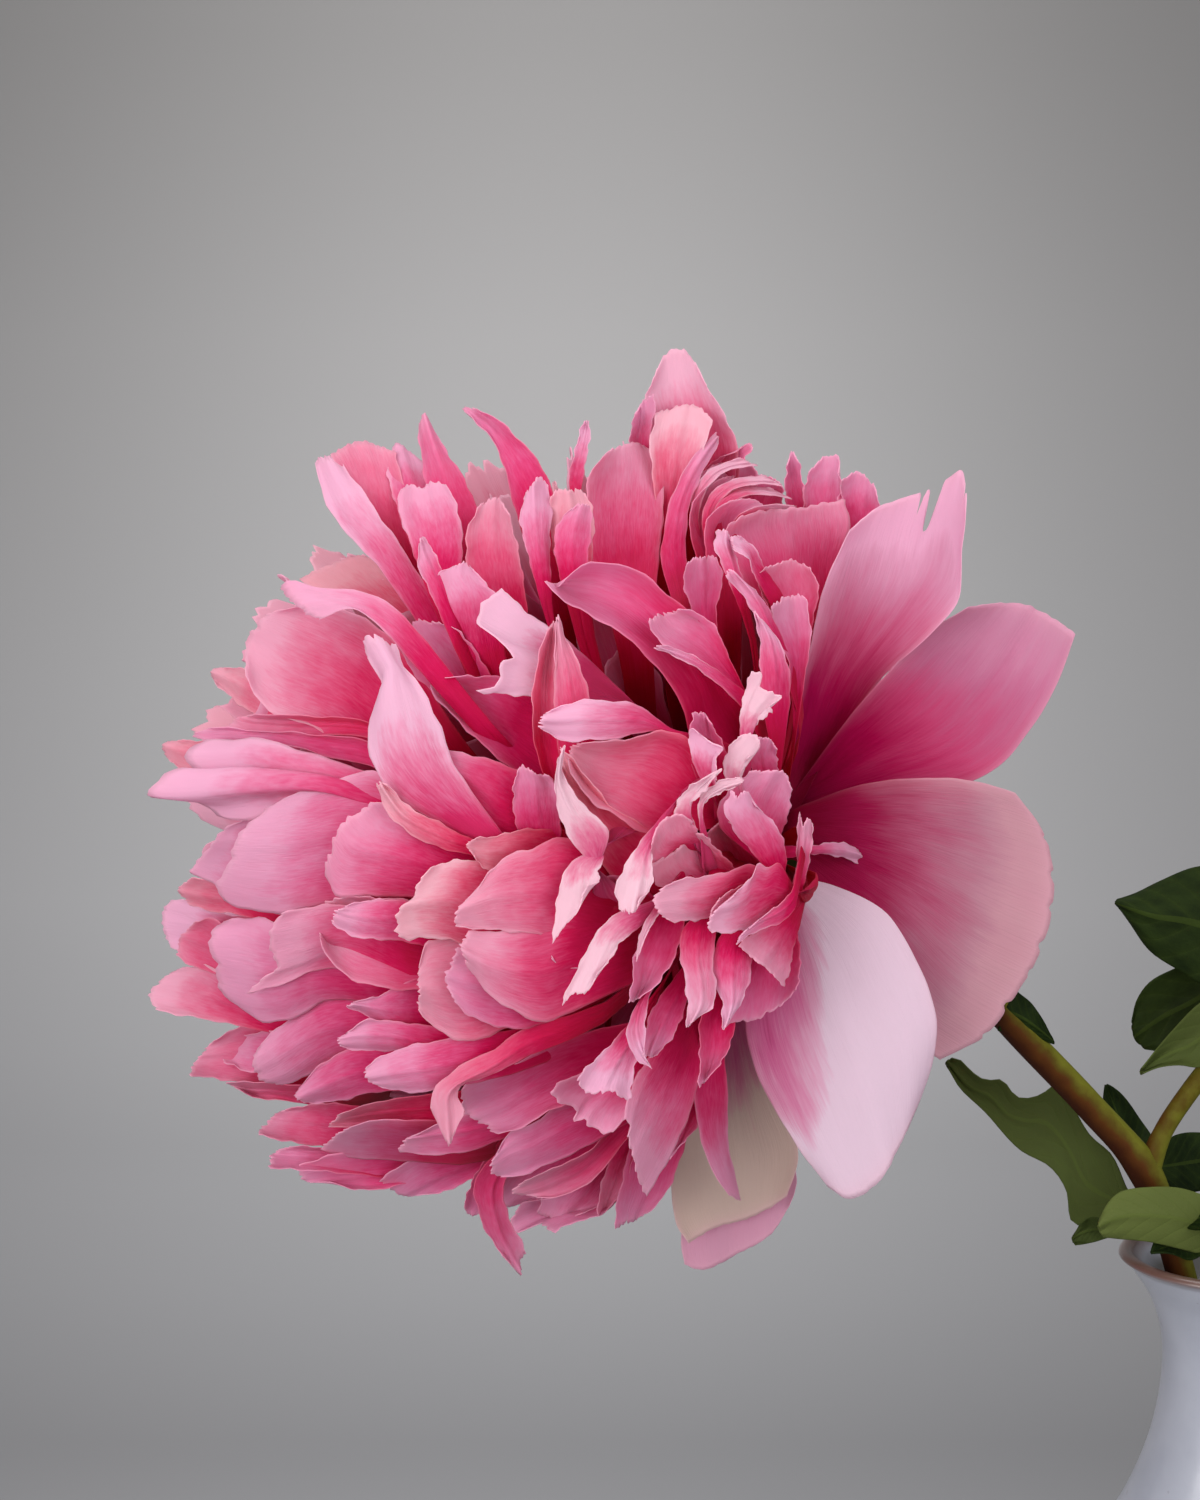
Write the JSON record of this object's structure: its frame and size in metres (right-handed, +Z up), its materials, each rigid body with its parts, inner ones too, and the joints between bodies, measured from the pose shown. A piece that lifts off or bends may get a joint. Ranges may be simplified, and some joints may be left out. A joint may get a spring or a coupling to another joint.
{
  "type": "peony in a bud vase",
  "caption": "Double pink peony on its own leafy stem, leaning out of a small glazed bud vase that holds water.",
  "frame": {"origin": "middle of the vase's foot, on the surface that it stands on", "axes": "+Z up along the vase's axis; the bloom leans to -X; -Y is the side that the picture was taken from"},
  "size_m": [0.254, 0.1645, 0.3385],
  "materials": {
    "glaze": "glossy pale blue-grey glaze",
    "water": "clear still water",
    "stem": "smooth red-brown and green stalk",
    "sepal": "dull green, waxy",
    "petal": "satin, streaked, pale at the edges",
    "leaf": "waxy dark green with paler veins"
  },
  "bodies": {
    "root": {"vase": "glaze", "water": "water", "stem": "stem", "calyx": "sepal", "petals": "petal", "bract_leaf": "leaf", "lobed_leaf": "leaf", "front_leaf": "leaf", "fork_leaf": "leaf", "mouth_leaf": "leaf", "side_leaf": "leaf"}
  },
  "joints": []
}
